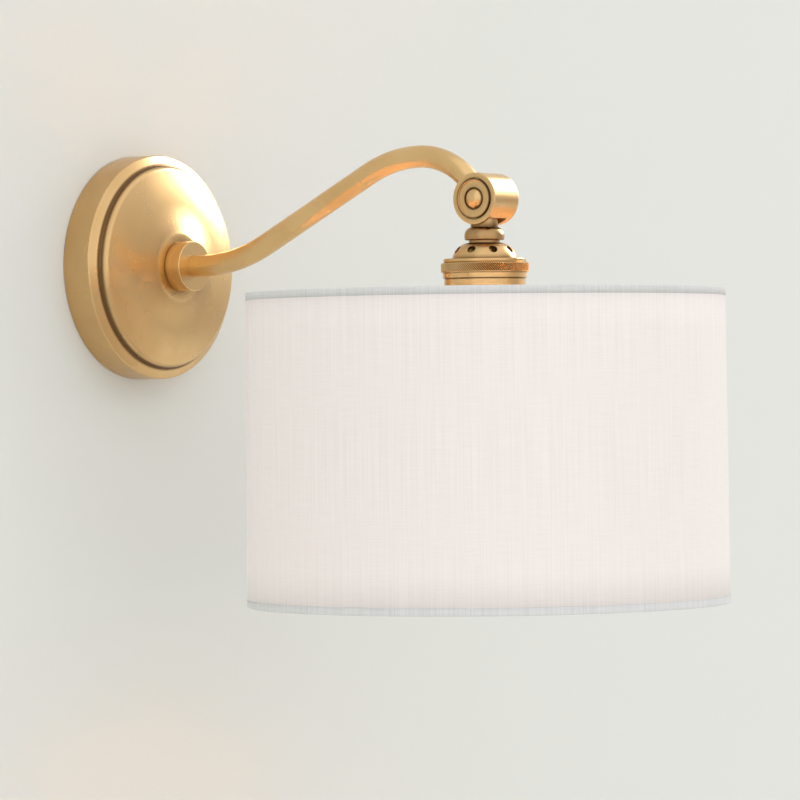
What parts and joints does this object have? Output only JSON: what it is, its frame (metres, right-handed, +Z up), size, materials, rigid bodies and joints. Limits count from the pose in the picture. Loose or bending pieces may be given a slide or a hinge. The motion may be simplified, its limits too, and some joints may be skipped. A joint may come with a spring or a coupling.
{
  "type": "wall light",
  "caption": "Wall light with a round domed plate, an S-bent arm, a tilting knuckle, a vented lampholder with a knurled ring, and a fabric drum shade.",
  "frame": {"origin": "middle of the wall plate's back, on the wall, half way between the two wall screws", "axes": "+Z up, +Y into the wall, so the light stands out along -Y; +X to the right for someone who faces the light"},
  "size_m": [0.2566, 0.3687, 0.2466],
  "materials": {
    "satin_brass": "antique satin, brushed",
    "raw_brass": "turned, bright",
    "zinc_steel": "zinc plated",
    "nickel_cap": "nickel plated, rolled",
    "terminal_nylon": "moulded",
    "washer_nylon": "stamped",
    "wire_insulation": "extruded",
    "porcelain": "glazed",
    "black_glass": "glassy",
    "bulb_glass": "clear",
    "warm_filament": "phosphor",
    "linen": "plain weave with slubs",
    "edge_tape": "thin woven tape",
    "styrene": "matt sheet",
    "white_wire": "powder coated"
  },
  "bodies": {
    "wall_mount": {"back_plate": "satin_brass", "mounting_bracket": "zinc_steel", "cover_screws": "satin_brass", "earth_washer": "zinc_steel", "earth_screw": "zinc_steel", "terminal_block": "terminal_nylon", "terminal_screws": "zinc_steel", "arm_collar": "satin_brass", "threaded_nipple": "raw_brass", "lock_washer": "zinc_steel", "lock_nut": "raw_brass", "arm_tube": "satin_brass", "arm_wires": "wire_insulation", "knuckle_housing": "satin_brass", "friction_washer": "washer_nylon"},
    "lamp_head": {"swivel_core": "satin_brass", "end_disc": "satin_brass", "pivot_screw": "satin_brass", "neck_stem": "satin_brass", "cap_nipple": "raw_brass", "cap_nut": "raw_brass", "vented_cap": "satin_brass", "holder_shell": "satin_brass", "socket_insert": "porcelain", "holder_screws": "raw_brass", "screw_shell": "raw_brass", "centre_tongue": "raw_brass", "holder_wires": "wire_insulation"},
    "lock_ring": {"knurled_ring": "satin_brass"},
    "bulb": {"bulb_contact": "zinc_steel", "bulb_insulator": "black_glass", "bulb_cap": "nickel_cap", "bulb_glass": "bulb_glass", "bulb_stem": "bulb_glass", "bulb_frame": "zinc_steel", "bulb_filaments": "warm_filament"},
    "shade": {"shade_fabric": "linen", "shade_liner": "styrene", "top_tape": "edge_tape", "bottom_tape": "edge_tape", "bottom_hoop": "white_wire", "shade_spider": "white_wire"},
    "shade_clamp": {"shade_ring": "satin_brass"}
  },
  "joints": [
    {"name": "head_tilt", "type": "hinge", "parent": "wall_mount", "child": "lamp_head", "pos_m": [0, -0.24041, 0.03067], "axis": [1, 0, 0], "range_deg": [-7, 10]},
    {"name": "lock_ring_turn", "type": "hinge", "parent": "lamp_head", "child": "lock_ring", "pos_m": [0, -0.24041, 0.03067], "axis": [0, 0, 1], "continuous": true},
    {"name": "bulb_turn", "type": "hinge", "parent": "lamp_head", "child": "bulb", "pos_m": [0, -0.24041, 0.03067], "axis": [0, 0, 1], "continuous": true},
    {"name": "shade_turn", "type": "hinge", "parent": "lamp_head", "child": "shade", "pos_m": [0, -0.24041, 0.03067], "axis": [0, 0, 1], "continuous": true},
    {"name": "shade_ring_turn", "type": "hinge", "parent": "lamp_head", "child": "shade_clamp", "pos_m": [0, -0.24041, 0.03067], "axis": [0, 0, 1], "continuous": true}
  ]
}
